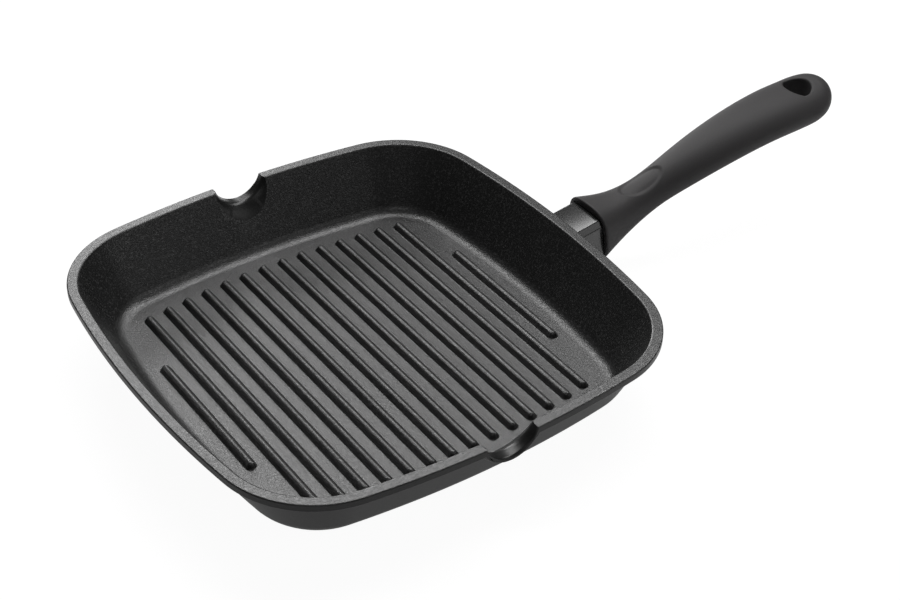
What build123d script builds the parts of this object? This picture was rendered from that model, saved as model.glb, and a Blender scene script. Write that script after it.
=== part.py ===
"""Square cast grill pan with a moulded, screwed-on handle.

All lengths are millimetres. The origin is the centre of the underside of the
base, +Z is up, +X points along the handle and the ribs run along Y.
"""
import os
from math import atan2, copysign, cos, pi, radians, sin, sqrt, tan

from build123d import *

os.makedirs("parts", exist_ok=True)

# Pan outline: four bowed sides and four large round corners
pan_half_length = 130.0  # centre to the middle of the rim, handle side
pan_half_width = 131.5  # centre to the middle of the rim, spout side
side_bow = 12.3  # middle of a side beyond the line through its sharp corners
corner_radius = 55.0

# Pan section, from the rim down
pan_height = 40.0
rim_width = 5.8
rim_depth = 4.2
rim_edge_radius = 0.8
wall_thickness = 3.0
wall_draft = 25.3  # degrees from vertical
floor_thickness = 3.6
floor_fillet = 8.0
base_fillet = 18.0

# Machined rings in the underside
base_ring_margin = 7.2  # from the outer ring to the nearest edge of the flat base
base_ring_pitch = 12.0
base_ring_space = 20.0  # radius kept free of rings, at least
base_ring_width = 1.6
base_ring_depth = 0.4

# Grill ribs
rib_pitch = 12.3
rib_side_margin = 14.0  # from the middle of a short rib to the floor's edge, at least
rib_foot_width = 5.6
rib_height = 3.2
rib_draft = 22.0  # degrees
rib_crown_radius = 1.3
rib_end_margin = 13.5  # from the ribs' ends to the floor's edge, at its middle
rib_end_radius = 490.0  # the rib ends lie on an arc of this radius
short_rib_reach = 45.5

# Pouring spouts in the two rims beside the handle side
spout_radius = 15.3
spout_rise = 4.6  # spout axis above the rim
spout_wall = 2.2
spout_draft = 20.0  # degrees

# Handle seat on the rim: the middle of the handle's front face
seat_reach = 150.0
seat_drop = 13.8  # below the rim
boss_tilt = 8.5  # degrees
bolt_tilt = 13.0  # degrees

# Cast boss between the wall and the handle
boss_half_width = 13.5
boss_half_height = 12.6
boss_bevel_width = 2.4
boss_bevel_height = 4.0
boss_entry = 2.5  # how far the boss goes into the handle
boss_web_length = 13.0  # solid web that joins the boss to the underside of the rim
boss_web_setback = 0.4  # from the rim's outer face

# Tongue that carries the handle
tongue_half_width = 7.5
tongue_half_height = 6.5
tongue_corner_radius = 2.5
tongue_length = 27.0  # from the handle's front face
tongue_clearance = 0.3

# Hexagonal thread insert cast into the end of the tongue
insert_across_flats = 8.0
insert_length = 16.0
thread_clearance = 0.1
bolt_end_gap = 1.5  # empty hole beyond the bolt's tip

# Handle bolt and its washers
bolt_diameter = 5.0
bolt_length = 55.0
bolt_head_diameter = 8.5
bolt_head_height = 5.0
bolt_head_edge = 0.5
bolt_point_chamfer = 0.8
bolt_socket_across_flats = 4.0
bolt_socket_depth = 2.6
washer_diameter = 10.0
washer_hole = 5.3
washer_thickness = 1.0
spring_diameter = 9.2
spring_hole = 5.2
spring_thickness = 1.3
spring_gap = 1.2
bolt_seat = 62.0  # washer face, from the handle's front face

# Moulded handle
handle_length = 175.2
handle_rise = 34.0  # centre of the tip above the centre of the front face
grip_half_width = 18.7
grip_half_height = 12.5
handle_lip_radius = 0.9
recess_clearance = 0.4
bolt_hole_clearance = 0.3
access_clearance = 0.4

# Handle stations: shares of its length, rise, grip half width and grip half height,
# how square the oval is (none for an ellipse) and the share of the boss's tilt it leans by
handle_station_shares = (
    (0.00, 0.000, 0.93, 1.40, 0.80, 1.0),
    (0.09, 0.052, 0.72, 1.08, 0.48, 0.4),
    (0.18, 0.169, 0.60, 0.925, 0.16, 0.0),
    (0.27, 0.328, 0.61, 0.865, 0.00, 0.0),
    (0.36, 0.473, 0.70, 0.885, 0.00, 0.0),
    (0.45, 0.602, 0.795, 0.91, 0.00, 0.0),
    (0.54, 0.712, 0.87, 0.93, 0.00, 0.0),
    (0.63, 0.801, 0.93, 0.94, 0.00, 0.0),
    (0.72, 0.864, 0.98, 0.95, 0.00, 0.0),
    (0.81, 0.898, 1.01, 0.965, 0.00, 0.0),
    (0.875, 0.916, 1.00, 0.965, 0.00, 0.0),
)
oval_point_count = 24

# Handle tip, rounded off beyond the last station
tip_station_count = 6
tip_turn = 88.5  # degrees of the quarter turn that the stations cover
tip_height_share = 0.90
tip_crown_share = 0.063  # length over which the height is rounded off

# Hanging hole, wider across the handle than along it
hole_centre = 150.0  # widest line, from the handle's front face
hole_tip_reach = 10.2  # from that line towards the tip
hole_back_reach = 5.0  # from that line towards the pan
hole_half_width = 9.0
hole_corner_radius = 3.0

# Thumb dish, pressed into the top of the neck
dish_centre = 35.9  # from the handle's front face
dish_length = 27.5
dish_width = 15.4
dish_depth = 1.0

overrun = 5.0  # how far cuts and roots run past a surface

# Places that follow from the sizes above
rim_overhang = (
    rim_width + rim_depth * tan(radians(wall_draft)) - wall_thickness / cos(radians(wall_draft))
)
seat_height = pan_height - seat_drop
inner_depth = pan_height - floor_thickness
spout_height = pan_height + spout_rise
floor_inset = rim_width + inner_depth * tan(radians(wall_draft))
rib_reach = pan_half_width - floor_inset - rib_end_margin
long_rib_count = int(2 * (pan_half_length - floor_inset - rib_side_margin) / rib_pitch) - 1
base_inset = (
    rim_overhang
    + (pan_height - rim_depth) * tan(radians(wall_draft))
    + base_fillet * tan(radians(90 - wall_draft) / 2)
)
base_ring_radius = min(pan_half_length, pan_half_width) - base_inset - base_ring_margin
base_ring_count = 1 + int((base_ring_radius - base_ring_space) / base_ring_pitch)
boss_root = (
    seat_reach - pan_half_length + rim_width + (seat_drop + boss_half_height) * tan(radians(wall_draft))
)
bolt_head_seat = bolt_seat + washer_thickness + spring_thickness
bolt_tip = bolt_head_seat - bolt_length


def tilted_plane(degrees_up):
    """A plane across the handle's axis at the seat, its normal tilted up from +X."""
    along = (cos(radians(degrees_up)), 0, sin(radians(degrees_up)))
    return Plane(origin=(seat_reach, 0, seat_height), x_dir=(0, 1, 0), z_dir=along)


boss_plane = tilted_plane(boss_tilt)
bolt_plane = tilted_plane(bolt_tilt)


def pan_outline(inset):
    """The pan's outline, moved in by inset."""
    slant = 2 * atan2(side_bow, pan_half_length - side_bow)
    corner_inset = inset / (cos(slant) + sin(slant))
    corner_x = pan_half_length - side_bow - corner_inset
    corner_y = pan_half_width - side_bow - corner_inset
    side_x = pan_half_length - inset
    side_y = pan_half_width - inset
    with BuildSketch() as outline:
        with BuildLine():
            ThreePointArc((-corner_x, corner_y), (0, side_y), (corner_x, corner_y))
            ThreePointArc((corner_x, corner_y), (side_x, 0), (corner_x, -corner_y))
            ThreePointArc((corner_x, -corner_y), (0, -side_y), (-corner_x, -corner_y))
            ThreePointArc((-corner_x, -corner_y), (-side_x, 0), (-corner_x, corner_y))
        make_face()
        fillet(outline.vertices(), corner_radius - inset)
    return outline.sketch


def boss_outline(grow):
    """The boss's bevelled section, grown all round."""
    half_width = boss_half_width + grow
    half_height = boss_half_height + grow
    with BuildSketch() as outline:
        with BuildLine():
            Polyline(
                (-half_width, -half_height + boss_bevel_width),
                (-half_width, half_height - boss_bevel_height),
                (-half_width + boss_bevel_width, half_height),
                (half_width - boss_bevel_width, half_height),
                (half_width, half_height - boss_bevel_height),
                (half_width, -half_height + boss_bevel_width),
                (half_width - boss_bevel_width, -half_height),
                (-half_width + boss_bevel_width, -half_height),
                close=True,
            )
        make_face()
    return outline.sketch


def hanging_outline():
    """The hanging hole: one round end towards the tip and a flatter back."""
    with BuildSketch() as outline:
        with BuildLine():
            ThreePointArc((0, hole_half_width), (hole_tip_reach, 0), (0, -hole_half_width))
            ThreePointArc((0, -hole_half_width), (-hole_back_reach, 0), (0, hole_half_width))
        make_face()
        fillet(outline.vertices(), hole_corner_radius)
    return outline.sketch


def tip_stations():
    """Stations beyond the last one of the list, on a quarter turn to the tip."""
    start, start_rise, start_width, start_height, square, lean = handle_station_shares[-1]
    stations = []
    for index in range(tip_station_count):
        turn = radians(tip_turn * (index + 1) / tip_station_count)
        done = sin(turn)
        along = start + (1 - start) * done
        rise = start_rise + (1 - start_rise) * done
        height = start_height + (tip_height_share - start_height) * done
        crown = max(0, 1 - (1 - along) / tip_crown_share)
        height *= sqrt(1 - crown**2)
        stations.append((along, rise, start_width * cos(turn), height, square, lean))
    return stations


def oval(half_width, half_height, square):
    """A smooth closed oval: an ellipse whose four corners fill out as square grows."""
    points = []
    for index in range(oval_point_count):
        turn = 2 * pi * index / oval_point_count
        across, up = (
            copysign(abs(share) ** (2 / (2 + square)), share) for share in (cos(turn), sin(turn))
        )
        points.append((half_width * across, half_height * up))
    with BuildSketch() as outline:
        with BuildLine():
            Spline(*points, periodic=True)
        make_face()
    return outline.sketch


def handle_shell(inset):
    """The handle's outer shape, smaller all round by inset."""
    with BuildPart() as shell:
        for along, rise, width, height, square, lean in (*handle_station_shares, *tip_stations()):
            place = (seat_reach + along * handle_length, 0, seat_height + rise * handle_rise)
            tilt = radians(lean * boss_tilt)
            half_width = width * grip_half_width
            half_height = height * grip_half_height
            if min(half_width, half_height) > 2 * inset:
                station = Plane(origin=place, x_dir=(0, 1, 0), z_dir=(cos(tilt), 0, sin(tilt)))
                with BuildSketch(station):
                    add(oval(half_width - inset, half_height - inset, square))
        loft()
    return shell.part


# Grill ribs, added to the casting below
rib_places = [(index - (long_rib_count - 1) / 2) * rib_pitch for index in range(long_rib_count)]
short_rib_place = rib_pitch * (long_rib_count + 1) / 2

with BuildPart() as ribs:
    with BuildSketch(Plane.XY.offset(floor_thickness)):
        for place in rib_places:
            reach = rib_reach - rib_end_radius + sqrt(rib_end_radius**2 - place**2)
            with Locations((place, 0)):
                SlotOverall(2 * reach, rib_foot_width, rotation=90)
        with Locations((-short_rib_place, 0), (short_rib_place, 0)):
            SlotOverall(2 * short_rib_reach, rib_foot_width, rotation=90)
    extrude(amount=rib_height, taper=rib_draft)
    fillet(ribs.edges().group_by(Axis.Z)[-1], rib_crown_radius)

# Spout collars, added to the casting below
spout_plane = Plane(
    origin=(0, -pan_half_width, spout_height), x_dir=(1, 0, 0), z_dir=(0, 1, 0)
)
with BuildPart() as collars:
    with BuildSketch(spout_plane):
        Circle(spout_radius + spout_wall)
    extrude(amount=rim_width + rim_depth, taper=-spout_draft)
    split(bisect_by=Plane.XY.offset(pan_height - rim_edge_radius), keep=Keep.BOTTOM)
    mirror(about=Plane.XZ)

# The space inside the pan, cut from the casting below
with BuildPart() as cavity:
    with BuildSketch(Plane.XY.offset(pan_height)):
        add(pan_outline(rim_width))
    extrude(amount=-inner_depth, taper=wall_draft)
    fillet(cavity.edges().group_by(Axis.Z)[0], floor_fillet)

# Pan casting: floor, walls, rim, boss, tongue, spouts and ribs in one piece
with BuildPart() as pan_body:
    with BuildSketch(Plane.XY.offset(pan_height - rim_depth)):
        add(pan_outline(rim_overhang))
    extrude(amount=rim_depth - pan_height, taper=wall_draft)
    fillet(pan_body.edges().group_by(Axis.Z)[0], base_fillet)
    with BuildSketch(Plane.XY.offset(pan_height - rim_depth)):
        add(pan_outline(0))
    extrude(amount=rim_depth)
    fillet(pan_body.edges().group_by(Axis.Z)[-1], rim_edge_radius)
    add(collars.part)
    with BuildSketch(boss_plane.offset(boss_entry)):
        add(boss_outline(0))
    extrude(amount=-(boss_entry + boss_root))
    with BuildSketch(Plane.XY.offset(seat_height)):
        with Locations((pan_half_length - boss_web_setback - boss_web_length / 2, 0)):
            Rectangle(boss_web_length, 2 * (boss_half_width - boss_bevel_width))
    extrude(amount=seat_drop - rim_depth / 2)
    add(cavity.part, mode=Mode.SUBTRACT)
    fillet(pan_body.edges(Select.LAST).group_by(Axis.Z)[-1], rim_edge_radius)
    with BuildSketch(Plane.XZ.offset(-pan_half_width - overrun)):
        with Locations((0, spout_height)):
            Circle(spout_radius)
    extrude(amount=2 * (pan_half_width + overrun), mode=Mode.SUBTRACT)
    add(ribs.part)
    with BuildSketch(bolt_plane):
        RectangleRounded(2 * tongue_half_width, 2 * tongue_half_height, tongue_corner_radius)
    extrude(amount=tongue_length)
    with BuildSketch(bolt_plane.offset(tongue_length)):
        RegularPolygon(insert_across_flats / 2, 6, major_radius=False)
    extrude(amount=-insert_length, mode=Mode.SUBTRACT)
    with BuildSketch(bolt_plane.offset(tongue_length)):
        Circle(bolt_diameter / 2 + thread_clearance)
    extrude(amount=bolt_tip - bolt_end_gap - tongue_length, mode=Mode.SUBTRACT)
    with BuildSketch(Plane.XY):
        for ring in range(base_ring_count):
            Circle(base_ring_radius - ring * base_ring_pitch)
            Circle(base_ring_radius - ring * base_ring_pitch - base_ring_width, mode=Mode.SUBTRACT)
    extrude(amount=base_ring_depth, mode=Mode.SUBTRACT)

# Thread insert
with BuildPart() as thread_insert:
    with BuildSketch(bolt_plane.offset(tongue_length)):
        RegularPolygon(insert_across_flats / 2, 6, major_radius=False)
        Circle(bolt_diameter / 2 + thread_clearance, mode=Mode.SUBTRACT)
    extrude(amount=-insert_length)

# Flat washer under the bolt head
with BuildPart() as flat_washer:
    with BuildSketch(bolt_plane.offset(bolt_seat)):
        Circle(washer_diameter / 2)
        Circle(washer_hole / 2, mode=Mode.SUBTRACT)
    extrude(amount=washer_thickness)

# Split spring washer between the flat washer and the bolt head
with BuildPart() as spring_washer:
    with BuildSketch(bolt_plane.offset(bolt_seat + washer_thickness)):
        Circle(spring_diameter / 2)
        Circle(spring_hole / 2, mode=Mode.SUBTRACT)
        with Locations((0, spring_diameter / 2)):
            Rectangle(spring_gap, spring_diameter, mode=Mode.SUBTRACT)
    extrude(amount=spring_thickness)

# Handle bolt with a hexagonal socket in its head
with BuildPart() as handle_bolt:
    with BuildSketch(bolt_plane.offset(bolt_tip)):
        Circle(bolt_diameter / 2)
    extrude(amount=bolt_length)
    chamfer(handle_bolt.edges().sort_by(Axis.X)[0], bolt_point_chamfer)
    with BuildSketch(bolt_plane.offset(bolt_head_seat)):
        Circle(bolt_head_diameter / 2)
    extrude(amount=bolt_head_height)
    fillet(handle_bolt.edges().sort_by(Axis.X)[-1], bolt_head_edge)
    with BuildSketch(bolt_plane.offset(bolt_head_seat + bolt_head_height)):
        RegularPolygon(bolt_socket_across_flats / 2, 6, major_radius=False)
    extrude(amount=-bolt_socket_depth, mode=Mode.SUBTRACT)

# Cutter for the thumb dish: a round-ended block above the sunken surface
with BuildPart() as dish:
    with BuildSketch(Plane.XY.offset(seat_height + grip_half_height / 2)):
        with Locations((seat_reach + dish_centre, 0)):
            SlotOverall(dish_length, dish_width)
    extrude(amount=handle_rise)
    add(handle_shell(dish_depth), mode=Mode.SUBTRACT)

# Moulded handle
with BuildPart() as handle_grip:
    add(handle_shell(0))
    fillet(handle_grip.edges().group_by(Axis.X)[0], handle_lip_radius)
    with BuildSketch(boss_plane.offset(boss_entry)):
        add(boss_outline(recess_clearance))
    extrude(amount=-(boss_entry + overrun), mode=Mode.SUBTRACT)
    with BuildSketch(bolt_plane):
        RectangleRounded(
            2 * (tongue_half_width + tongue_clearance),
            2 * (tongue_half_height + tongue_clearance),
            tongue_corner_radius,
        )
    extrude(amount=tongue_length + tongue_clearance, mode=Mode.SUBTRACT)
    with BuildSketch(bolt_plane):
        Circle(bolt_diameter / 2 + bolt_hole_clearance)
    extrude(amount=bolt_seat, mode=Mode.SUBTRACT)
    with BuildSketch(bolt_plane.offset(bolt_seat)):
        Circle(washer_diameter / 2 + access_clearance)
    extrude(amount=(hole_centre - bolt_seat) / cos(radians(bolt_tilt)), mode=Mode.SUBTRACT)
    add(dish.part, mode=Mode.SUBTRACT)
    with BuildSketch(Plane.XY.offset(seat_height)):
        with Locations((seat_reach + hole_centre, 0)):
            add(hanging_outline())
    extrude(amount=2 * handle_rise, mode=Mode.SUBTRACT)

for label, piece in (
    ("pan_body", pan_body),
    ("thread_insert", thread_insert),
    ("handle_bolt", handle_bolt),
    ("flat_washer", flat_washer),
    ("spring_washer", spring_washer),
    ("handle_grip", handle_grip),
):
    piece.part.label = label
    export_step(piece.part, f"parts/{label}.step")
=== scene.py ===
"""Looks of the square grill pan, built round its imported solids.

The shapes are worked out in millimetres in the part's own frame and scaled to
metres when each mesh is finished. +X runs along the handle, the ribs run along Y.
"""
from math import acos, asin, atan2, copysign, cos, degrees, hypot, pi, radians, sin, sqrt, tan

import bmesh
import bpy
import numpy as np
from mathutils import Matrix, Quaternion, Vector, geometry


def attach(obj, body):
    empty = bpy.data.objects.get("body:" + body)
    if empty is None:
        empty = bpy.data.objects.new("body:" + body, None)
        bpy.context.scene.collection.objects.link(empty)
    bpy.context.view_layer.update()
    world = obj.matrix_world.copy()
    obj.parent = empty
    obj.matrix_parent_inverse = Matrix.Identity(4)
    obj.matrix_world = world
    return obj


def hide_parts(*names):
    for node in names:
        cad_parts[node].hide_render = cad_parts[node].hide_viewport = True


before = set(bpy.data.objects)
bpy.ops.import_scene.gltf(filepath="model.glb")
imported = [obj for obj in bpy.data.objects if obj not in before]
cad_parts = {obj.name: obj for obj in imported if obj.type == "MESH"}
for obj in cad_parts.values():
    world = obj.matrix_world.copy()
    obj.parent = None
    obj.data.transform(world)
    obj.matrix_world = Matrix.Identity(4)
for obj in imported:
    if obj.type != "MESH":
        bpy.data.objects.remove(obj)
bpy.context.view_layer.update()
MM = 0.001

# Pan
half_length, half_width, bow, corner_radius = 130.0, 131.5, 12.3, 55.0
pan_height, rim_width, rim_depth = 40.0, 5.8, 4.2
rim_round, rim_inner_round = 0.8, 1.3
wall_thickness, floor_height = 3.0, 3.6
draft = radians(25.3)
floor_fillet, base_fillet = 8.0, 18.0
rim_overhang = rim_width + rim_depth * tan(draft) - wall_thickness / cos(draft)
ring_radius, ring_pitch, ring_count = 90.0, 12.0, 6
ring_width, ring_depth, ring_slope = 1.6, 0.4, 0.15
side_steps, corner_steps = 14, 24

# Ribs
rib_pitch, rib_count = 12.3, 14
rib_half_foot, rib_height = 2.9, 3.15
rib_reach, rib_end_radius, short_rib_reach = 95.0, 490.0, 46.8

# Pouring notches
notch_radius, notch_height = 15.3, pan_height + 4.6
collar_start, collar_middle, collar_length = -1.5, 3.5, 10.0
collar_radius, collar_draft, collar_spare = 17.5, radians(20), 0.8
notch_outer_round, notch_outer_turn = 1.5, radians(65)
notch_inner_round, notch_inner_turn, notch_lean = 4.5, radians(45), radians(11)
notch_outer_cone, notch_inner_cone, notch_cutter_reach = 3, 11, 24
notch_coat_start, notch_coat_radius, notch_coat_facing = 112, 25, 0.5

# Rounds on the edges that the joined shapes leave
edge_round, notch_edge_round, edge_least_angle = 0.7, 0.4, radians(24)
notch_zone_half_width, notch_zone_start = 21, 118

# Boss and handle
seat = Vector((150.0, 0.0, pan_height - 13.8))
boss_tilt, bolt_tilt = radians(8.5), radians(13.0)
boss_half_width, boss_half_height = 13.5, 12.6
boss_bevel_width, boss_bevel_height, boss_crown = 2.4, 4.0, 0.35
boss_entry, boss_gap, recess_gap = 2.5, 0.02, 0.4
web_margin, web_root, web_setback = 0.4, 1.0, 0.5
handle_length, handle_rise = 175.15, 34.0
grip_half_width, grip_half_height = 18.7, 12.44
lip_radius = 1.3
bolt_seat, bore_radius = 62.0, 5.4
station_along = (0.00, 0.09, 0.18, 0.27, 0.36, 0.45, 0.54, 0.63, 0.72, 0.81, 0.875, 0.9375, 1.0)
station_rise = (0, 0.052, 0.169, 0.328, 0.473, 0.602, 0.712, 0.801, 0.864, 0.898, 0.916, 0.958, 1)
station_width = (0.93, 0.72, 0.60, 0.61, 0.70, 0.795, 0.87, 0.93, 0.98, 1.01, 1.0, 1.0, 1.0)
station_height = (1.4, 1.08, 0.925, 0.865, 0.885, 0.91, 0.93, 0.94, 0.95, 0.965, 0.965, 0.9325, 0.9)
station_square = (0.80, 0.48, 0.16, 0, 0, 0, 0, 0, 0, 0, 0, 0, 0)
station_lean = (1.0, 0.4, 0, 0, 0, 0, 0, 0, 0, 0, 0, 0, 0)
tip_start, tip_crown = 0.875, 0.063
hole_x, hole_tip, hole_back, hole_half, hole_corner = 300.0, 10.2, 5.0, 9.0, 3.0
hole_top_round, hole_low_round = 1.7, 0.9
dish_x, dish_half_length, dish_half_width, dish_depth = 185.9, 14.6, 7.9, 1.0
dish_edge_spread, dish_edge_width = 0.3, 2.6


# Mesh helpers

def add_ring(bm, points):
    """Vertices for a closed ring of points."""
    return [bm.verts.new(point) for point in points]


def bridge(bm, ring_a, ring_b):
    """Quads between two closed rings of the same count."""
    count = len(ring_a)
    for index in range(count):
        following = (index + 1) % count
        bm.faces.new((ring_a[index], ring_a[following], ring_b[following], ring_b[index]))


def inside_polygon(point, polygon):
    """True if a 2D point lies in the polygon."""
    x, y = point
    inside = False
    ax, ay = polygon[-1]
    for bx, by in polygon:
        if (ay > y) != (by > y) and x < (bx - ax) * (y - ay) / (by - ay) + ax:
            inside = not inside
        ax, ay = bx, by
    return inside


def fill_between(bm, outer, holes, flat, extra=(), kept=()):
    """Triangles between an outer ring of vertices and ring-shaped holes.

    flat maps a vertex to the 2D plane in which the triangles are laid out. extra are
    loose vertices to include, and kept are closed rings whose edges stay whole.
    """
    rings = [list(outer), *[list(hole) for hole in holes], *[list(ring) for ring in kept]]
    verts, edges = [], []
    for ring in rings:
        start = len(verts)
        verts.extend(ring)
        edges.extend((start + i, start + (i + 1) % len(ring)) for i in range(len(ring)))
    verts.extend(extra)
    coords = [Vector(flat(vert)) for vert in verts]
    result = geometry.delaunay_2d_cdt(coords, edges, [], 0, 1e-6, True)
    source = [ids[0] if ids else None for ids in result[3]]
    outer_shape = [flat(vert) for vert in outer]
    hole_shapes = [[flat(vert) for vert in hole] for hole in holes]
    for triangle in result[2]:
        corners = [source[i] for i in triangle]
        if None in corners:
            raise RuntimeError("a ring crosses another ring")
        middle = sum((coords[i] for i in corners), Vector((0, 0))) / 3
        if not inside_polygon(middle, outer_shape):
            continue
        if any(inside_polygon(middle, shape) for shape in hole_shapes):
            continue
        bm.faces.new([verts[i] for i in corners])


def temporary(bm):
    """A linked object made from a bmesh, for boolean steps."""
    mesh = bpy.data.meshes.new("step")
    bm.to_mesh(mesh)
    bm.free()
    made = bpy.data.objects.new("step", mesh)
    bpy.context.scene.collection.objects.link(made)
    return made


def evaluated_mesh(obj):
    """A bmesh of the object with its modifiers applied; the object is removed."""
    bpy.context.view_layer.update()
    graph = bpy.context.evaluated_depsgraph_get()
    mesh = bpy.data.meshes.new_from_object(obj.evaluated_get(graph))
    bm = bmesh.new()
    bm.from_mesh(mesh)
    bpy.data.objects.remove(obj)
    bpy.data.meshes.remove(mesh)
    return bm


def combine(base, steps):
    """The base bmesh with bmesh cutters joined to it or cut from it, in order."""
    made = temporary(base)
    helpers = []
    for operation, cutter in steps:
        bmesh.ops.recalc_face_normals(cutter, faces=cutter.faces)
        helper = temporary(cutter)
        helpers.append(helper)
        step = made.modifiers.new("step", "BOOLEAN")
        step.operation = operation
        step.solver = "EXACT"
        step.object = helper
    joined = evaluated_mesh(made)
    for helper in helpers:
        bpy.data.objects.remove(helper)
    return joined


def finish_mesh(bm, name, materials, nodes, sharp_angle=32):
    """Turns a bmesh in millimetres into a finished piece on the frame."""
    bmesh.ops.recalc_face_normals(bm, faces=bm.faces)
    for face in bm.faces:
        face.smooth = True
    for edge in bm.edges:
        edge.smooth = len(edge.link_faces) == 2 and edge.calc_face_angle(0) < radians(sharp_angle)
    bmesh.ops.scale(bm, vec=(MM, MM, MM), verts=bm.verts)
    mesh = bpy.data.meshes.new(name)
    bm.to_mesh(mesh)
    bm.free()
    for material in materials:
        mesh.materials.append(material)
    piece = bpy.data.objects.new(name, mesh)
    bpy.context.scene.collection.objects.link(piece)
    normals = piece.modifiers.new("normals", "WEIGHTED_NORMAL")
    normals.keep_sharp = True
    normals.weight = 60
    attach(piece, "root")
    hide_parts(*nodes)


# Materials

def new_material(name):
    """A new material, its node tree and its shader."""
    material = bpy.data.materials.new(name)
    material.use_nodes = True
    tree = material.node_tree
    return material, tree, tree.nodes["Principled BSDF"]


def noise(tree, scale, detail=2.0, roughness=0.5):
    """A noise texture in object coordinates."""
    coordinates = tree.nodes.new("ShaderNodeTexCoord")
    texture = tree.nodes.new("ShaderNodeTexNoise")
    texture.inputs["Scale"].default_value = scale
    texture.inputs["Detail"].default_value = detail
    texture.inputs["Roughness"].default_value = roughness
    tree.links.new(coordinates.outputs["Object"], texture.inputs["Vector"])
    return texture


def ramp(tree, source, stops):
    """A colour ramp through stops, each a place with a grey or a colour."""
    node = tree.nodes.new("ShaderNodeValToRGB")
    elements = node.color_ramp.elements
    while len(elements) < len(stops):
        elements.new(0.5)
    for element, (place, grey) in zip(elements, stops):
        element.position = place
        shade = grey if isinstance(grey, tuple) else (grey, grey, grey)
        element.color = (*shade, 1)
    tree.links.new(source, node.inputs["Fac"])
    return node


def bump(tree, source, shader, strength, distance):
    """Fine relief on the shader's normal; the distance is in metres."""
    node = tree.nodes.new("ShaderNodeBump")
    node.inputs["Strength"].default_value = strength
    node.inputs["Distance"].default_value = distance
    tree.links.new(source, node.inputs["Height"])
    tree.links.new(node.outputs["Normal"], shader.inputs["Normal"])


def coating(name, dark, light, speck, rough, gloss, grain):
    """Dark non-stick coating with fine lighter specks."""
    material, tree, shader = new_material(name)
    grains = noise(tree, scale=860, detail=3.0, roughness=0.7)
    base = ramp(tree, grains.outputs["Fac"], [(0.36, dark), (0.52, light), (0.66, speck)])
    patches = noise(tree, scale=28, detail=3.0)
    tone = ramp(tree, patches.outputs["Fac"], [(0.3, 0.9), (0.7, 1.0)])
    mix = tree.nodes.new("ShaderNodeMix")
    mix.data_type = "RGBA"
    mix.blend_type = "MULTIPLY"
    mix.inputs["Factor"].default_value = 1.0
    tree.links.new(base.outputs["Color"], mix.inputs["A"])
    tree.links.new(tone.outputs["Color"], mix.inputs["B"])
    tree.links.new(mix.outputs["Result"], shader.inputs["Base Color"])
    spread = grain / 6
    shine = ramp(tree, grains.outputs["Fac"], [(0.38, rough + spread), (0.62, rough - spread)])
    tree.links.new(shine.outputs["Color"], shader.inputs["Roughness"])
    shader.inputs["Specular IOR Level"].default_value = gloss
    fine = noise(tree, scale=1500, detail=2.0, roughness=0.6)
    bump(tree, fine.outputs["Fac"], shader, strength=grain, distance=0.00025)
    return material


def glossy_coating():
    """Smooth dark coating with no specks."""
    material, tree, shader = new_material("glossy_coating")
    shader.inputs["Base Color"].default_value = (0.012, 0.012, 0.012, 1)
    shader.inputs["Roughness"].default_value = 0.20
    shader.inputs["Specular IOR Level"].default_value = 0.9
    return material


def moulding():
    """Black soft-touch moulding."""
    material, tree, shader = new_material("soft_touch_black")
    grains = noise(tree, scale=2600, detail=2.0, roughness=0.6)
    dark, light = (0.035, 0.033, 0.034), (0.045, 0.043, 0.044)
    base = ramp(tree, grains.outputs["Fac"], [(0.3, dark), (0.7, light)])
    tree.links.new(base.outputs["Color"], shader.inputs["Base Color"])
    shine = ramp(tree, grains.outputs["Fac"], [(0.3, 0.62), (0.7, 0.56)])
    tree.links.new(shine.outputs["Color"], shader.inputs["Roughness"])
    shader.inputs["Specular IOR Level"].default_value = 0.30
    bump(tree, grains.outputs["Fac"], shader, strength=0.12, distance=0.0001)
    return material


def steel():
    """Bright zinc-plated steel."""
    material, tree, shader = new_material("zinc_steel")
    shader.inputs["Metallic"].default_value = 1.0
    grains = noise(tree, scale=700, detail=3.0)
    dark, light = (0.50, 0.51, 0.52), (0.62, 0.63, 0.64)
    base = ramp(tree, grains.outputs["Fac"], [(0.3, dark), (0.7, light)])
    tree.links.new(base.outputs["Color"], shader.inputs["Base Color"])
    shine = ramp(tree, grains.outputs["Fac"], [(0.3, 0.28), (0.7, 0.40)])
    tree.links.new(shine.outputs["Color"], shader.inputs["Roughness"])
    bump(tree, grains.outputs["Fac"], shader, strength=0.1, distance=0.0001)
    return material


cooking_coat = coating(
    "speckled_coating", dark=0.006, light=0.012, speck=0.080, rough=0.335, gloss=0.70, grain=0.60
)
outer_coat = coating(
    "smooth_coating", dark=0.008, light=0.010, speck=0.016, rough=0.32, gloss=0.40, grain=0.06
)
boss_coat = glossy_coating()
soft_black = moulding()
zinc = steel()


# Pan

length_arc = ((half_width - bow) ** 2 + bow**2) / (2 * bow)
width_arc = ((half_length - bow) ** 2 + bow**2) / (2 * bow)
arc_x, arc_y = half_length - length_arc, half_width - width_arc


def corner_centre():
    """Centre of the round corner that touches both bowed sides."""
    near_x, near_y = length_arc - corner_radius, width_arc - corner_radius
    gap = hypot(arc_x, arc_y)
    along = (near_x**2 - near_y**2 + gap**2) / (2 * gap)
    across = sqrt(near_x**2 - along**2)
    unit_x, unit_y = -arc_x / gap, arc_y / gap
    return arc_x + along * unit_x - across * unit_y, along * unit_y + across * unit_x


corner_x, corner_y = corner_centre()


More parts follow.
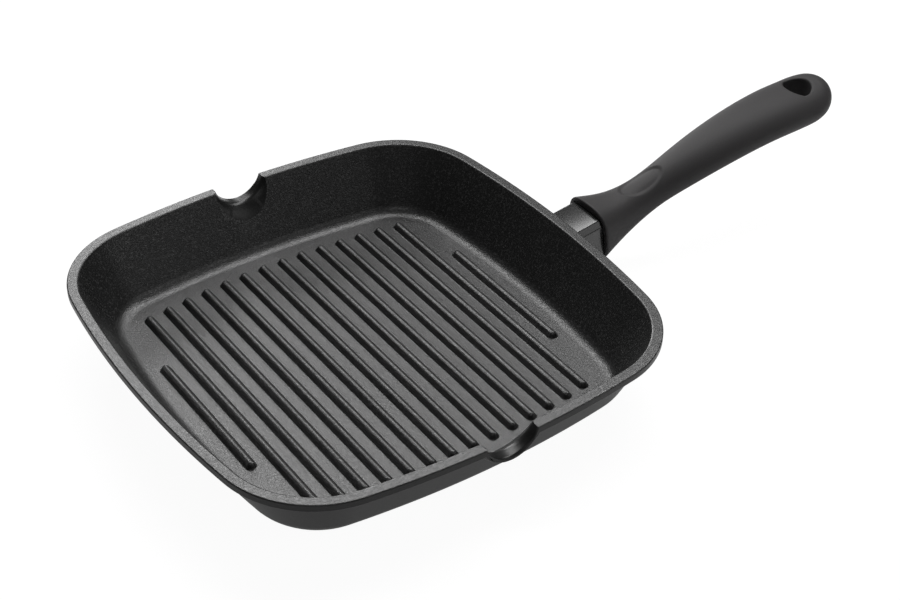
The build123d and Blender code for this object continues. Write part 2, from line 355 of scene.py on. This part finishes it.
def pan_outline():
    """Outline points and outward normals, anticlockwise from the handle side."""
    side_turn = atan2(corner_y, corner_x - arc_x)
    end_turn = atan2(corner_y - arc_y, corner_x)
    quarter = []
    for turn in np.linspace(0, side_turn, side_steps + 1)[:-1]:
        normal = Vector((cos(turn), sin(turn)))
        quarter.append((Vector((arc_x, 0)) + normal * length_arc, normal))
    for turn in np.linspace(side_turn, end_turn, corner_steps + 1)[:-1]:
        normal = Vector((cos(turn), sin(turn)))
        quarter.append((Vector((corner_x, corner_y)) + normal * corner_radius, normal))
    for turn in np.linspace(end_turn, pi / 2, side_steps + 1):
        normal = Vector((cos(turn), sin(turn)))
        quarter.append((Vector((0, arc_y)) + normal * width_arc, normal))
    half = quarter + [(Vector((-p.x, p.y)), Vector((-n.x, n.y))) for p, n in quarter[-2::-1]]
    return half + [(Vector((p.x, -p.y)), Vector((n.x, -n.y))) for p, n in half[-2:0:-1]]


outline = pan_outline()


def ring_at(inset, height):
    """The pan's outline moved inwards by inset, at this height."""
    return [(p.x - n.x * inset, p.y - n.y * inset, height) for p, n in outline]


def inset_of(x, y):
    """How far a point lies inside the pan's outline."""
    x, y = abs(x), abs(y)
    turn = atan2(y - corner_y, x - corner_x)
    side_turn = atan2(corner_y, corner_x - arc_x)
    end_turn = atan2(corner_y - arc_y, corner_x)
    if side_turn < turn < end_turn:
        return corner_radius - hypot(x - corner_x, y - corner_y)
    return min(length_arc - hypot(x - arc_x, y), width_arc - hypot(x, y - arc_y))


def inner_inset(height):
    """How far in the wall's inner face lies at this height."""
    return rim_width + (pan_height - height) * tan(draft)


def outer_inset(height):
    """How far in the wall's outer face lies at this height."""
    return rim_overhang + (pan_height - rim_depth - height) * tan(draft)


def fillet_rows(inset, height, radius, count):
    """Section points of the round between a level face and the sloping wall above it."""
    reach = radius / tan((pi / 2 + draft) / 2)
    centre_inset, centre_height = inset + reach, height + radius
    rows = []
    for step in range(count + 1):
        turn = (pi / 2 - draft) * step / count
        rows.append((centre_inset - radius * sin(turn), centre_height - radius * cos(turn)))
    return rows


def round_rows(inset, height, radius, first, last, count=5):
    """Section points on a round about a centre, from one angle in degrees to another."""
    turns = np.linspace(radians(first), radians(last), count)
    return [(inset + radius * cos(t), height + radius * sin(t)) for t in turns]


def solid_of(rings):
    """A closed bmesh through rings of points."""
    bm = bmesh.new()
    made = [add_ring(bm, ring) for ring in rings]
    for ring_a, ring_b in zip(made, made[1:]):
        bridge(bm, ring_a, ring_b)
    bm.faces.new(made[0])
    bm.faces.new(made[-1])
    return bm


def pan_blank():
    """The casting without its cavity, its rim a little oversize for the clip."""
    under = pan_height - rim_depth
    middle_row, spare, spare_start = 22, 0.5, 2.6
    rows = fillet_rows(outer_inset(0), 0, base_fillet, count=9)
    rows += [(outer_inset(middle_row), middle_row), (rim_overhang, under)]
    rows += round_rows(rim_round, under + rim_round, rim_round, first=270, last=195)
    rows += [(-spare, under + spare_start), (-spare, pan_height + 2 * spare)]
    return solid_of([ring_at(inset, height) for inset, height in rows])


def rim_clip():
    """The space that the rim and its collars are trimmed to."""
    below = -5
    rows = [(0, below)]
    rows += round_rows(rim_round, pan_height - rim_round, rim_round, first=180, last=90)
    return solid_of([ring_at(inset, height) for inset, height in rows])


def cavity():
    """The space inside the pan, up to a round that leads into the rim's top."""
    middle_row, round_end, mouth_spread, mouth_rise = 25, 78, 4, 0.9
    rows = fillet_rows(inner_inset(floor_height), floor_height, floor_fillet, count=7)
    rows += [(inner_inset(middle_row), middle_row)]
    edge = pan_height - rim_inner_round
    start = inner_inset(edge) - rim_inner_round / cos(draft)
    rows += round_rows(start, edge, rim_inner_round, first=degrees(draft), last=round_end)
    rows += [(rim_width - mouth_spread, pan_height + mouth_rise)]
    return solid_of([ring_at(inset, height) for inset, height in rows])


def arc_ring(radius, y, side, steps=120):
    """A ring about the notches' axis; y is one place or a place for each turn."""
    points = []
    for index in range(steps):
        turn = 2 * pi * index / steps
        place = y(turn) if callable(y) else y
        points.append((radius * sin(turn), side * place, notch_height - radius * cos(turn)))
    return points


def collar(side):
    """Half-round collar under a pouring notch."""
    rings = []
    for depth in (collar_start, collar_middle, collar_length):
        radius = collar_radius + depth * tan(collar_draft)
        widest = acos((notch_height - pan_height - collar_spare) / radius)
        points = []
        for turn in np.linspace(-widest, widest, 61):
            x, z = radius * sin(turn), notch_height - radius * cos(turn)
            points.append((x, side * (half_width - depth), z))
        rings.append(points)
    return solid_of(rings)


def notch_cutter(side):
    """A tube that rounds over towards the pan's outside and, wider, its inside."""
    def wall_place(turn):
        height = min(pan_height, notch_height - notch_radius * cos(turn))
        return half_width - rim_width - (pan_height - height) * tan(notch_lean)

    rings = []
    last, radius = notch_outer_turn, notch_outer_round
    end = half_width - radius + radius * sin(last), notch_radius + radius * (1 - cos(last))
    outermost = end[0] + notch_outer_cone * cos(last)
    rings.append(arc_ring(end[1] + notch_outer_cone * sin(last), outermost, side))
    for turn in np.linspace(last, 0, 6):
        place = half_width - radius + radius * sin(turn)
        rings.append(arc_ring(notch_radius + radius * (1 - cos(turn)), place, side))
    last, radius = notch_inner_turn, notch_inner_round
    lead = radius * tan((pi / 2 - draft) / 2)
    for turn in np.linspace(0, last, 9):
        shift = lead - radius * sin(turn)
        wide = notch_radius + radius * (1 - cos(turn))
        rings.append(arc_ring(wide, lambda t, shift=shift: wall_place(t) + shift, side))
    shift -= notch_inner_cone * cos(last)
    wide += notch_inner_cone * sin(last)
    rings.append(arc_ring(wide, lambda t: wall_place(t) + shift, side))
    rings.append(arc_ring(wide, half_width - notch_cutter_reach, side))
    return solid_of(rings)


def boss_section(grow):
    """Section of the boss moved out by grow, its edges bevelled and its top crowned."""
    wide, high = boss_half_width + grow, boss_half_height + grow
    flat = wide - boss_bevel_width
    top = [(flat * share, high - boss_crown * share**2) for share in np.linspace(-1, 1, 9)]
    return [
        (-wide, -high + boss_bevel_width),
        (-wide, high - boss_bevel_height),
        *top,
        (wide, high - boss_bevel_height),
        (wide, -high + boss_bevel_width),
        (flat, -high),
        (-flat, -high),
    ]


boss_along = Vector((cos(boss_tilt), 0, sin(boss_tilt)))
boss_up = Vector((-sin(boss_tilt), 0, cos(boss_tilt)))


def boss():
    """Boss from inside the handle's recess back into the pan's wall."""
    front, back = [], []
    for y, up in boss_section(0):
        start = seat + Vector((0, y, 0)) + boss_up * up
        front.append(start + boss_along * (boss_entry - boss_gap))
        reach = 0.0
        for _ in range(8):
            place = start - boss_along * reach
            middle = (inner_inset(place.z) + outer_inset(place.z)) / 2
            reach += place.x - (half_length - middle)
        back.append(start - boss_along * reach)
    return solid_of([front, back])


def boss_web():
    """Solid between the boss and the underside of the rim."""
    low, high = seat.z, pan_height - rim_depth / 2
    wide = boss_half_width - boss_bevel_width - web_margin
    near, far = half_length - rim_width - web_root, half_length - web_setback
    return solid_of(
        [[(near, -wide, z), (far, -wide, z), (far, wide, z), (near, wide, z)] for z in (low, high)]
    )


def edge_rounding(edge):
    """Radius wanted on a sharp edge that the joined shapes leave, in millimetres."""
    middle = (edge.verts[0].co + edge.verts[1].co) / 2
    on_boss = middle.x > half_length + 1.5 and abs(middle.y) < boss_half_width + 2
    near_notch = abs(middle.x) <= notch_zone_half_width and abs(middle.y) >= notch_zone_start
    on_collar = abs(middle.y) > half_width - 0.6 and middle.z < pan_height - rim_depth - 1.5
    on_rim = abs(middle.y) < half_width - 1.0 and middle.z > pan_height - 0.05
    if on_boss or (near_notch and on_collar):
        return edge_round
    return notch_edge_round if near_notch and on_rim else 0.0


def rounded_pan():
    """The casting without ribs and rings, its edges rounded."""
    bm = combine(
        pan_blank(),
        [
            ("UNION", collar(-1)),
            ("UNION", collar(1)),
            ("INTERSECT", rim_clip()),
            ("UNION", boss()),
            ("UNION", boss_web()),
            ("DIFFERENCE", cavity()),
            ("DIFFERENCE", notch_cutter(-1)),
            ("DIFFERENCE", notch_cutter(1)),
        ],
    )
    bmesh.ops.remove_doubles(bm, verts=bm.verts, dist=0.01)
    weights = bm.edges.layers.float.new("bevel_weight_edge")
    for edge in bm.edges:
        if len(edge.link_faces) == 2 and edge.calc_face_angle(0) > edge_least_angle:
            edge[weights] = edge_rounding(edge) / edge_round
    made = temporary(bm)
    rounding = made.modifiers.new("rounding", "BEVEL")
    rounding.limit_method = "WEIGHT"
    rounding.width = edge_round
    rounding.segments = 4
    rounding.use_clamp_overlap = False
    return evaluated_mesh(made)


def open_level_face(bm, height):
    """Removes the level face at this height and returns the ring of vertices round it."""
    def at_height(verts):
        return all(abs(vert.co.z - height) < 1e-3 for vert in verts)

    gone = [face for face in bm.faces if at_height(face.verts) and abs(face.normal.z) > 0.9]
    bmesh.ops.delete(bm, geom=gone, context="FACES")
    links = {}
    for edge in bm.edges:
        if edge.is_boundary and at_height(edge.verts):
            a, b = edge.verts
            links.setdefault(a, []).append(b)
            links.setdefault(b, []).append(a)
    start = next(iter(links))
    ring, before, here = [start], None, start
    while True:
        ahead = [v for v in links[here] if v is not before][0]
        if ahead is start:
            return ring
        ring.append(ahead)
        before, here = here, ahead


# Rib section: how far in from the foot's outline, and how far above the floor
rib_rows = (
    (-0.55, 0.0), (-0.25, 0.06), (0.0, 0.24), (0.16, 0.55), (0.85, 1.85), (1.02, 2.22),
    (1.26, 2.50), (1.60, 2.74), (2.02, 2.94), (2.47, 3.09), (2.80, rib_height),
)


def rib_ring(bm, place, reach, inset, height, end_steps=12):
    """A round-ended ring of a rib, in from its foot's outline by inset."""
    radius = rib_half_foot - inset
    centre = reach - rib_half_foot
    points = []
    for side in (1, -1):
        for step in range(end_steps + 1):
            turn = pi * step / end_steps
            x = place + side * radius * cos(turn)
            y = side * (centre + radius * sin(turn))
            points.append((x, y, floor_height + height))
    return add_ring(bm, points)


def add_ribs(bm):
    """Ribs on the floor; returns the rings round their feet."""
    feet = []
    places = [(i - (rib_count - 1) / 2) * rib_pitch for i in range(rib_count)]
    ribs = [(p, rib_reach - rib_end_radius + sqrt(rib_end_radius**2 - p**2)) for p in places]
    side_place = rib_pitch * (rib_count + 1) / 2
    ribs += [(-side_place, short_rib_reach), (side_place, short_rib_reach)]
    for place, reach in ribs:
        rings = [rib_ring(bm, place, reach, inset, height) for inset, height in rib_rows]
        for ring_a, ring_b in zip(rings, rings[1:]):
            bridge(bm, ring_a, ring_b)
        bm.faces.new(rings[-1])
        feet.append(rings[0])
    return feet


def circle(bm, radius, height, steps=144):
    """A ring of vertices about the pan's centre."""
    turns = [2 * pi * index / steps for index in range(steps)]
    return add_ring(bm, [(radius * cos(t), radius * sin(t), height) for t in turns])


def plan_place(vert):
    return vert.co.x, vert.co.y


def add_base_rings(bm, base_ring):
    """The underside with its turned rings, inside the ring round its edge."""
    outer = circle(bm, ring_radius, 0)
    fill_between(bm, base_ring, [outer], plan_place)
    for index in range(ring_count):
        radius = ring_radius - index * ring_pitch
        rows = [circle(bm, radius - ring_slope, ring_depth)]
        rows.append(circle(bm, radius - ring_width + ring_slope, ring_depth))
        rows.append(circle(bm, radius - ring_width, 0))
        bridge(bm, outer, rows[0])
        bridge(bm, rows[0], rows[1])
        bridge(bm, rows[1], rows[2])
        if index < ring_count - 1:
            outer = circle(bm, radius - ring_pitch, 0)
            bridge(bm, rows[2], outer)
        else:
            bm.faces.new(rows[2])


def coat_index(face):
    """Place of a face's coat in the pan's list of cooking, outer and boss coats."""
    middle = face.calc_center_median()
    on_boss = middle.x > half_length + 1.0 and abs(middle.y) < boss_half_width + 1
    if on_boss:
        return 2
    towards = Vector((-middle.x, 0, notch_height - middle.z))
    in_notch = abs(middle.y) > notch_coat_start and towards.length < notch_coat_radius
    if in_notch and face.normal.dot(towards) > notch_coat_facing * towards.length:
        return 1
    wall = (inner_inset(middle.z) + outer_inset(middle.z)) / 2
    cooking = inset_of(middle.x, middle.y) > wall or middle.z > pan_height - 0.5
    return 0 if cooking else 1


def build_pan():
    """The coated casting: walls, rim, notches, boss, ribs and base rings."""
    bm = rounded_pan()
    floor_ring = open_level_face(bm, floor_height)
    fill_between(bm, floor_ring, add_ribs(bm), plan_place)
    add_base_rings(bm, open_level_face(bm, 0.0))
    for face in bm.faces:
        face.material_index = coat_index(face)
    coats = [cooking_coat, outer_coat, boss_coat]
    finish_mesh(bm, "pan", coats, ["pan_body"])


# Handle

def natural_spline(places, values):
    """A smooth curve through the values, as a function."""
    x, y = np.array(places), np.array(values)
    gaps, slopes = np.diff(x), np.diff(y) / np.diff(x)
    count = len(x)
    system, wanted = np.eye(count), np.zeros(count)
    for i in range(1, count - 1):
        system[i, i - 1 : i + 2] = (gaps[i - 1], 2 * (gaps[i - 1] + gaps[i]), gaps[i])
        wanted[i] = 6 * (slopes[i] - slopes[i - 1])
    bend = np.linalg.solve(system, wanted)

    def curve(place):
        i = int(min(max(np.searchsorted(x, place) - 1, 0), count - 2))
        t, gap = place - x[i], gaps[i]
        slope = slopes[i] - gap * (2 * bend[i] + bend[i + 1]) / 6
        return y[i] + slope * t + bend[i] * t**2 / 2 + (bend[i + 1] - bend[i]) * t**3 / (6 * gap)

    return curve


rise_curve = natural_spline(station_along, station_rise)
width_curve = natural_spline(station_along, station_width)
height_curve = natural_spline(station_along, station_height)
square_curve = natural_spline(station_along, station_square)
lean_curve = natural_spline(station_along, station_lean)
tip_length = (1 - tip_start) * handle_length
body_length = tip_start * handle_length


def section_at(x):
    """Centre height, half width and half height of the handle at x."""
    along = min(max((x - seat.x) / handle_length, 0.0), 1.0)
    round_off = max(0.0, (along - tip_start) / (1 - tip_start))
    crown = max(0.0, 1 - (1 - along) / tip_crown)
    width = grip_half_width * width_curve(along) * sqrt(max(0.0, 1 - round_off**2))
    height = grip_half_height * height_curve(along) * sqrt(max(0.0, 1 - crown**2))
    return seat.z + handle_rise * rise_curve(along), width, height


def power_at(x):
    """Power of the oval's rounding at x: 1 is an ellipse, and less is squarer."""
    along = (x - seat.x) / handle_length
    return 2 / (2 + max(0.0, square_curve(min(max(along, 0.0), 1.0))))


def to_x(run):
    """x for a distance run along the handle; the last quarter turn rounds the tip."""
    if run <= body_length:
        return seat.x + run
    return seat.x + body_length + tip_length * sin((run - body_length) / tip_length)


def to_run(x):
    """Distance run along the handle for x."""
    along = x - seat.x
    if along <= body_length:
        return along
    return body_length + tip_length * asin(min(1.0, (along - body_length) / tip_length))


def on_handle(run, turn, sink=0.0, inset=0.0):
    """Point on the handle's skin, sunk below it or on a section smaller by inset."""
    x = to_x(run)
    middle, width, height = section_at(x)
    power = power_at(x)
    lean = boss_tilt * lean_curve((x - seat.x) / handle_length)
    across = copysign(abs(cos(turn)) ** power, cos(turn)) * (width - inset)
    up = copysign(abs(sin(turn)) ** power, sin(turn)) * (height - inset)
    point = Vector((x - up * sin(lean), across, middle + up * cos(lean)))
    if sink:
        normal = Vector((0, cos(turn) * height, sin(turn) * width))
        point -= normal.normalized() * sink
    return point


def skin_place(x, y, upper):
    """Run and turn of the skin point above or below a plan point."""
    share = min(1.0, abs(y) / section_at(x)[1]) ** (1 / power_at(x))
    turn = acos(copysign(share, y))
    return to_run(x), turn if upper else 2 * pi - turn


def hole_outline(grow):
    """Plan points of the hanging hole moved out by grow, and its back arc's centre and radius."""
    tip_count, corner_count, back_count = 17, 7, 13
    tip_round = (hole_half**2 + hole_tip**2) / (2 * hole_tip)
    back_round = (hole_half**2 + hole_back**2) / (2 * hole_back)
    tip_x, back_x = hole_x + hole_tip - tip_round, hole_x - hole_back + back_round
    gap = back_x - tip_x
    reach_tip, reach_back = tip_round - hole_corner, back_round - hole_corner
    along = (reach_tip**2 - reach_back**2 + gap**2) / (2 * gap)
    centre = Vector((tip_x + along, sqrt(reach_tip**2 - along**2)))
    turn_a = atan2(centre.y, centre.x - tip_x)
    turn_b = atan2(centre.y, centre.x - back_x)
    half = []
    for turn in np.linspace(0, turn_a, tip_count)[:-1]:
        half.append((tip_x + (tip_round + grow) * cos(turn), (tip_round + grow) * sin(turn)))
    for turn in np.linspace(turn_a, turn_b, corner_count)[:-1]:
        radius = hole_corner + grow
        half.append((centre.x + radius * cos(turn), centre.y + radius * sin(turn)))
    for turn in np.linspace(turn_b, pi, back_count):
        half.append((back_x + (back_round + grow) * cos(turn), (back_round + grow) * sin(turn)))
    return half + [(x, -y) for x, y in half[-2:0:-1]], back_x, back_round


def dish_ring(offset, steps=64):
    """Plan points of the thumb dish's oval outline, moved out by offset."""
    turns = [2 * pi * step / steps for step in range(steps)]
    long, wide = dish_half_length + offset, dish_half_width + offset
    return [(dish_x + long * cos(turn), wide * sin(turn)) for turn in turns]


def dish_sink(x, y):
    """How deep the thumb dish is at a plan point."""
    reach = hypot(x - dish_x, y)
    share = hypot((x - dish_x) / dish_half_length, y / dish_half_width)
    inside = reach / share - reach if share else dish_half_width
    inward = min(1.0, max(0.0, (inside + dish_edge_spread) / dish_edge_width))
    return dish_depth * inward * inward * (3 - 2 * inward)


def build_handle():
    """The moulded handle: its skin with the thumb dish, hanging hole, lip and recess."""
    bm = bmesh.new()
    columns, body_rows, tip_rows, tip_step = 96, 101, 21, 4
    turns = [2 * pi * index / columns for index in range(columns)]
    runs = list(np.linspace(lip_radius, body_length, body_rows))
    runs += [body_length + tip_length * radians(tip_step * (row + 1)) for row in range(tip_rows)]
    places = {}

    def vertex(run, turn, sink=0.0):
        made = bm.verts.new(on_handle(run, turn, sink))
        places[made] = (run, turn)
        return made

    def sink_at(run, turn):
        point = on_handle(run, turn)
        return dish_sink(point.x, point.y) if 0 < turn < pi else 0.0

    grid = [[vertex(run, turn, sink_at(run, turn)) for turn in turns] for run in runs]

    def flat(vert, turn_scale=15.0):
        run, turn = places[vert]
        return run, turn * turn_scale

    def row_of(run):
        return int(np.argmin([abs(run - value) for value in runs]))

    def loop(points, upper, sink=None):
        made = []
        for x, y in points:
            run, turn = skin_place(x, y, upper)
            made.append(vertex(run, turn, sink(x, y) if sink else 0.0))
        return made

    top_points, back_x, back_round = hole_outline(hole_top_round)
    low_points = hole_outline(hole_low_round)[0]
    top_loop, low_loop = loop(top_points, True), loop(low_points, False)
    dish_offsets = (0.55, 0.3, -0.15, -0.6, -1.05, -1.5, -1.95, -2.4)
    dish_loops = [loop(dish_ring(offset), True, dish_sink) for offset in dish_offsets]
    covered = set()

    def lay_anew(first, last, left, right, holes, kept, least_gap=0.75):
        """Triangles instead of the grid between these rows and columns."""
        outer = [grid[first][c] for c in range(left, right)]
        outer += [grid[r][right] for r in range(first, last)]
        outer += [grid[last][c] for c in range(right, left, -1)]
        outer += [grid[r][left] for r in range(last, first, -1)]
        shapes = [[flat(v) for v in ring] for ring in holes]
        marks = np.array([flat(v) for ring in (*holes, *kept) for v in ring])
        extra = []
        for r in range(first + 1, last):
            for c in range(left + 1, right):
                vert = grid[r][c]
                spot = np.array(flat(vert))
                near = np.min(np.hypot(*(marks - spot).T)) < least_gap
                if near or any(inside_polygon(spot, shape) for shape in shapes):
                    places.pop(vert)
                    bm.verts.remove(vert)
                else:
                    extra.append(vert)
        fill_between(bm, outer, holes, flat, extra, kept)
        covered.update((r, c) for r in range(first, last) for c in range(left, right))

    top_rows = row_of(to_run(hole_x - 11)), row_of(to_run(hole_x + 16))
    low_rows = row_of(to_run(hole_x - 10)), row_of(to_run(hole_x + 15))
    dish_rows = row_of(19), row_of(53)
    lay_anew(*top_rows, left=11, right=37, holes=[top_loop], kept=[])
    lay_anew(*low_rows, left=59, right=85, holes=[low_loop], kept=[])
    lay_anew(*dish_rows, left=8, right=40, holes=[], kept=dish_loops)
    for r in range(len(runs) - 1):
        for c in range(columns):
            if (r, c) not in covered:
                d = (c + 1) % columns
                bm.faces.new((grid[r][c], grid[r][d], grid[r + 1][d], grid[r + 1][c]))
    pole = bm.verts.new((seat.x + handle_length, 0, section_at(seat.x + handle_length)[0]))
    for c in range(columns):
        bm.faces.new((grid[-1][c], grid[-1][(c + 1) % columns], pole))

    add_hole(bm, top_loop, low_loop, back_x, back_round)
    add_front(bm, grid[0], turns)
    finish_mesh(bm, "handle", [soft_black], ["handle_grip"])


def skin_height(x, y, upper):
    """Height of the handle's skin above or below a plan point."""
    middle, width, height = section_at(x)
    lift = height * sqrt(max(0.0, 1 - (y / width) ** 2))
    return middle + lift if upper else middle - lift


def hole_rim(bm, ring, plan, upper, depth, steps=6):
    """A round from a ring on the skin into the hanging hole; returns its last ring."""
    before = ring
    for step in range(1, steps + 1):
        t = step / steps
        points = []
        for vert, (x, y) in zip(ring, plan):
            corner = Vector((x, y, skin_height(x, y, upper)))
            end = corner - Vector((0, 0, depth))
            points.append(vert.co * (1 - t) ** 2 + corner * 2 * t * (1 - t) + end * t**2)
        after = add_ring(bm, points)
        bridge(bm, before, after)
        before = after
    return before


def access_bore(bm, back_x, back_round, steps=40):
    """The bore through which a tool reaches the bolt; returns the ring of its mouth."""
    bore_along = Vector((cos(bolt_tilt), 0, sin(bolt_tilt)))
    bore_up = Vector((-sin(bolt_tilt), 0, cos(bolt_tilt)))
    mouth, end = [], []
    for step in range(steps):
        turn = 2 * pi * step / steps
        across = Vector((0, bore_radius * cos(turn), 0)) + bore_up * (bore_radius * sin(turn))
        start = seat + bore_along * bolt_seat + across
        wall_x = back_x - sqrt(back_round**2 - start.y**2)
        mouth.append(start + bore_along * ((wall_x - start.x) / cos(bolt_tilt)))
        end.append(start)
    mouth_ring, end_ring = add_ring(bm, mouth), add_ring(bm, end)
    bridge(bm, mouth_ring, end_ring)
    bm.faces.new(end_ring)
    return mouth_ring


def add_hole(bm, top_loop, low_loop, back_x, back_round):
    """Rounded rims and wall of the hanging hole, with the access bore in its back."""
    plan = hole_outline(0.0)[0]
    wall_steps, back_start, back_half, least_gap = 8, 6, 7.6, 0.4
    top_rim = hole_rim(bm, top_loop, plan, True, hole_top_round)
    low_rim = hole_rim(bm, low_loop, plan, False, -hole_low_round)
    rows = [top_rim]
    for step in range(1, wall_steps):
        points = [a.co.lerp(b.co, step / wall_steps) for a, b in zip(top_rim, low_rim)]
        rows.append(add_ring(bm, points))
    rows.append(low_rim)
    back = [i for i, (x, y) in enumerate(plan) if x < back_x - back_start and abs(y) < back_half]
    first, last = back[0], back[-1]
    for ring_a, ring_b in zip(rows, rows[1:]):
        for i in range(len(plan)):
            if not first <= i < last:
                j = (i + 1) % len(plan)
                bm.faces.new((ring_a[i], ring_a[j], ring_b[j], ring_b[i]))
    mouth_ring = access_bore(bm, back_x, back_round)

    def flat(vert):
        return vert.co.y, vert.co.z

    outer = [rows[0][i] for i in range(first, last)]
    outer += [row[last] for row in rows[:-1]]
    outer += [rows[-1][i] for i in range(last, first, -1)]
    outer += [row[first] for row in rows[:0:-1]]
    shape = [flat(v) for v in mouth_ring]
    marks = np.array(shape)
    extra = []
    for row in rows[1:-1]:
        for i in range(first + 1, last):
            spot = np.array(flat(row[i]))
            if np.min(np.hypot(*(marks - spot).T)) < least_gap or inside_polygon(spot, shape):
                bm.verts.remove(row[i])
            else:
                extra.append(row[i])
    fill_between(bm, outer, [mouth_ring], flat, extra)


def add_front(bm, side_ring, turns, lip_steps=6):
    """Rounded lip and front face of the handle, with the recess for the boss."""
    before = side_ring
    for step in range(1, lip_steps + 1):
        turn = pi / 2 * step / lip_steps
        run, inset = lip_radius * (1 - sin(turn)), lip_radius * (1 - cos(turn))
        after = add_ring(bm, [on_handle(run, place, inset=inset) for place in turns])
        bridge(bm, before, after)
        before = after
    section = boss_section(recess_gap)
    mouth = [seat + Vector((0, y, 0)) + boss_up * up for y, up in section]
    mouth_ring = add_ring(bm, mouth)
    bottom_ring = add_ring(bm, [point + boss_along * boss_entry for point in mouth])
    fill_between(bm, before, [mouth_ring], lambda vert: (vert.co.y, (vert.co - seat).dot(boss_up)))
    bridge(bm, mouth_ring, bottom_ring)
    bm.faces.new(bottom_ring)


build_pan()
build_handle()
for name in ("handle_bolt", "flat_washer", "spring_washer", "thread_insert"):
    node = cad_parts[name]
    node.data.materials.clear()
    node.data.materials.append(zinc)


# Stage, light and camera

def area_light(name, place, target, size, power):
    """A softbox at a place, turned to the target."""
    data = bpy.data.lights.new(name, "AREA")
    data.shape = "RECTANGLE"
    data.size, data.size_y = size
    data.energy = power
    light = bpy.data.objects.new(name, data)
    light.location = place
    aim = Vector(target) - Vector(place)
    light.rotation_mode = "QUATERNION"
    light.rotation_quaternion = aim.to_track_quat("-Z", "Y")
    bpy.context.scene.collection.objects.link(light)


def floor_material():
    """A pale floor that the camera sees as white with a faint shadow.

    Glossy rays see a part of that white in the pale floor, and other rays the floor alone.
    """
    material, tree, shader = new_material("pale_floor")
    grains = noise(tree, scale=3)
    base = ramp(tree, grains.outputs["Fac"], [(0.3, 0.86), (0.7, 0.88)])
    tree.links.new(base.outputs["Color"], shader.inputs["Base Color"])
    shader.inputs["Roughness"].default_value = 0.9
    path = tree.nodes.new("ShaderNodeLightPath")
    seen = tree.nodes.new("ShaderNodeMath")
    seen.operation = "MULTIPLY_ADD"
    seen.inputs[1].default_value = 0.25
    glow = tree.nodes.new("ShaderNodeEmission")
    glow.inputs["Strength"].default_value = 0.95
    both = tree.nodes.new("ShaderNodeAddShader")
    faint = tree.nodes.new("ShaderNodeBsdfDiffuse")
    faint.inputs["Color"].default_value = (0.12, 0.12, 0.12, 1)
    mix = tree.nodes.new("ShaderNodeMixShader")
    output = tree.nodes["Material Output"]
    tree.links.new(path.outputs["Is Glossy Ray"], seen.inputs[0])
    tree.links.new(path.outputs["Is Camera Ray"], seen.inputs[2])
    tree.links.new(seen.outputs["Value"], mix.inputs["Fac"])
    tree.links.new(glow.outputs["Emission"], both.inputs[0])
    tree.links.new(faint.outputs["BSDF"], both.inputs[1])
    tree.links.new(shader.outputs["BSDF"], mix.inputs[1])
    tree.links.new(both.outputs["Shader"], mix.inputs[2])
    tree.links.new(mix.outputs["Shader"], output.inputs["Surface"])
    return material


def pale_floor(drop=0.0002):
    """A wide floor, in metres, a little below the pan's underside."""
    bm = bmesh.new()
    ring = add_ring(bm, [(-4, -4, 0), (6, -4, 0), (6, 7, 0), (-4, 7, 0)])
    bm.faces.new(ring)
    mesh = bpy.data.meshes.new("floor")
    bm.to_mesh(mesh)
    bm.free()
    mesh.materials.append(floor_material())
    floor = bpy.data.objects.new("floor", mesh)
    floor.location.z = -drop
    bpy.context.scene.collection.objects.link(floor)


def studio_world():
    """A dim room that the camera sees as a white backdrop."""
    world = bpy.data.worlds.new("studio")
    bpy.context.scene.world = world
    world.use_nodes = True
    tree = world.node_tree
    tree.nodes.clear()
    output = tree.nodes.new("ShaderNodeOutputWorld")
    path = tree.nodes.new("ShaderNodeLightPath")
    room = tree.nodes.new("ShaderNodeBackground")
    room.inputs["Color"].default_value = (0.08, 0.08, 0.08, 1)
    backdrop = tree.nodes.new("ShaderNodeBackground")
    backdrop.inputs["Color"].default_value = (1, 1, 1, 1)
    mix = tree.nodes.new("ShaderNodeMixShader")
    tree.links.new(path.outputs["Is Camera Ray"], mix.inputs["Fac"])
    tree.links.new(room.outputs["Background"], mix.inputs[1])
    tree.links.new(backdrop.outputs["Background"], mix.inputs[2])
    tree.links.new(mix.outputs["Shader"], output.inputs["Surface"])


def photo_camera():
    """The camera as it stood for the photograph, solved from the pan's outlines."""
    data = bpy.data.cameras.new("camera")
    data.sensor_width = 36
    data.lens = 70.41
    camera = bpy.data.objects.new("camera", data)
    camera.location = (-0.38315, -0.61297, 0.58495)
    camera.rotation_mode = "QUATERNION"
    look = Vector((0.46473, 0.64843, -0.60296))
    roll = Quaternion((0, 0, 1), radians(1.19))
    camera.rotation_quaternion = look.to_track_quat("-Z", "Y") @ roll
    bpy.context.scene.collection.objects.link(camera)
    bpy.context.scene.camera = camera


pale_floor()
studio_world()
photo_camera()
target = (0.03, 0.0, 0.03)
area_light("high_softbox", (0.377, 0.366, 0.783), target, size=(1.28, 0.30), power=8.2)
area_light("low_softbox", (0.520, 1.490, 0.537), target, size=(0.52, 0.62), power=7.6)
area_light("front_fill", (-0.7, -1.0, 1.5), target, size=(1.0, 1.0), power=2.0)
area_light("right_fill", (1.15, -1.35, 0.92), target, size=(0.9, 0.9), power=2.6)

view = bpy.context.scene.view_settings
view.view_transform = "Standard"
